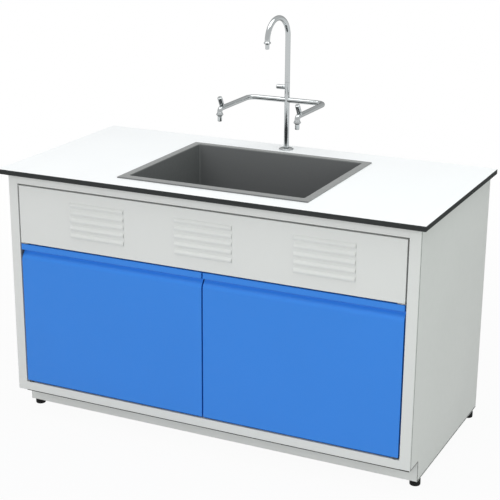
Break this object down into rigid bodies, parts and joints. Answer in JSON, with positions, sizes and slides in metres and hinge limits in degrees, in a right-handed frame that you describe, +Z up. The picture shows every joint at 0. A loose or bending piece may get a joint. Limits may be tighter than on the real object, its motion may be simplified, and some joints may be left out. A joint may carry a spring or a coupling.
{
  "type": "laboratory sink unit",
  "caption": "Free-standing steel laboratory cabinet with a louvred front panel, flush blue doors, a worktop with a drop-in sink and a gooseneck tap with side arms.",
  "frame": {"origin": "on the floor, under the centre of the worktop", "axes": "+X to the right along the worktop, +Y from the doors to the rear edge, +Z up"},
  "size_m": [1.5, 0.75, 1.3803],
  "materials": {
    "casing_paint": "light grey powder coat, satin",
    "door_paint": "blue powder coat, satin",
    "decor_white": "white laminate, fine satin",
    "core_black": "dark solid core, matt",
    "sink_grey": "mid grey moulded sink, matt",
    "chrome": "polished chrome plating",
    "zinc": "bright steel, lightly brushed",
    "rubber_black": "black moulded rubber, matt",
    "pipe_white": "off-white moulded plastic"
  },
  "bodies": {
    "cabinet": {"worktop_face": "decor_white", "worktop_core": "core_black", "side_panel_right": "casing_paint", "side_panel_left": "casing_paint", "top_rail": "casing_paint", "bottom_rail": "casing_paint", "mid_rail": "casing_paint", "front_plinth": "casing_paint", "rear_plinth": "casing_paint", "rear_stretcher": "casing_paint", "floor_panel": "casing_paint", "back_panel": "casing_paint", "sink_bearer_left": "casing_paint", "sink_bearer_right": "casing_paint", "louvre_panel": "casing_paint", "left_hinge_plate": "zinc", "left_pivot_washer": "rubber_black", "left_door_catch": "pipe_white", "foot_plate_front_left": "zinc", "foot_plate_back_left": "zinc", "tap_arm_left": "chrome", "tap_nozzle_left": "chrome", "right_hinge_plate": "zinc", "right_pivot_washer": "rubber_black", "right_door_catch": "pipe_white", "foot_plate_front_right": "zinc", "foot_plate_back_right": "zinc", "tap_arm_right": "chrome", "tap_nozzle_right": "chrome", "sink_bowl": "sink_grey", "waste_fitting": "zinc", "waste_grid": "zinc", "tap_shank": "zinc", "tap_backnut": "zinc", "waste_gasket": "rubber_black", "waste_nut": "pipe_white", "trap_body": "pipe_white", "trap_cup": "pipe_white", "trap_inlet_nut": "pipe_white", "waste_pipe": "pipe_white", "trap_outlet_nut": "pipe_white", "tap_flange": "chrome", "tap_column": "chrome"},
    "left_door": {"left_door_skin": "door_paint", "left_door_lining": "door_paint", "left_pivot_pin_bottom": "zinc", "left_pivot_pin_top": "zinc"},
    "right_door": {"right_door_skin": "door_paint", "right_door_lining": "door_paint", "right_pivot_pin_bottom": "zinc", "right_pivot_pin_top": "zinc"},
    "gooseneck_spout": {"gooseneck": "chrome", "gooseneck_nozzle": "chrome"},
    "main_knob": {"main_valve_knob": "chrome"},
    "left_knob": {"side_valve_knob_left": "chrome"},
    "right_knob": {"side_valve_knob_right": "chrome"},
    "front_left_foot": {"foot_front_left": "rubber_black"},
    "front_right_foot": {"foot_front_right": "rubber_black"},
    "back_left_foot": {"foot_back_left": "rubber_black"},
    "back_right_foot": {"foot_back_right": "rubber_black"}
  },
  "joints": [
    {"name": "left_door_hinge", "type": "hinge", "parent": "cabinet", "child": "left_door", "pos_m": [-0.677, -0.341, 0.387], "axis": [0, 0, -1], "range_deg": [0, 110]},
    {"name": "right_door_hinge", "type": "hinge", "parent": "cabinet", "child": "right_door", "pos_m": [0.677, -0.341, 0.387], "axis": [0, 0, 1], "range_deg": [0, 110]},
    {"name": "gooseneck_swivel", "type": "hinge", "parent": "cabinet", "child": "gooseneck_spout", "pos_m": [0, 0.318, 1.2], "axis": [0, 0, 1], "continuous": true},
    {"name": "main_valve", "type": "hinge", "parent": "cabinet", "child": "main_knob", "pos_m": [-0.03, 0.318, 1.122], "axis": [-1, 0, 0], "range_deg": [0, 90]},
    {"name": "left_side_valve", "type": "hinge", "parent": "cabinet", "child": "left_knob", "pos_m": [-0.144, 0.1, 1.077], "axis": [0, -0.515, 0.8572], "range_deg": [0, 90]},
    {"name": "right_side_valve", "type": "hinge", "parent": "cabinet", "child": "right_knob", "pos_m": [0.144, 0.1, 1.077], "axis": [0, -0.515, 0.8572], "range_deg": [0, 90]},
    {"name": "front_left_foot_screw", "type": "hinge", "parent": "cabinet", "child": "front_left_foot", "pos_m": [-0.713, -0.241, 0.01], "axis": [0, 0, 1], "continuous": true},
    {"name": "front_right_foot_screw", "type": "hinge", "parent": "cabinet", "child": "front_right_foot", "pos_m": [0.713, -0.241, 0.01], "axis": [0, 0, 1], "continuous": true},
    {"name": "back_left_foot_screw", "type": "hinge", "parent": "cabinet", "child": "back_left_foot", "pos_m": [-0.713, 0.333, 0.01], "axis": [0, 0, 1], "continuous": true},
    {"name": "back_right_foot_screw", "type": "hinge", "parent": "cabinet", "child": "back_right_foot", "pos_m": [0.713, 0.333, 0.01], "axis": [0, 0, 1], "continuous": true}
  ]
}
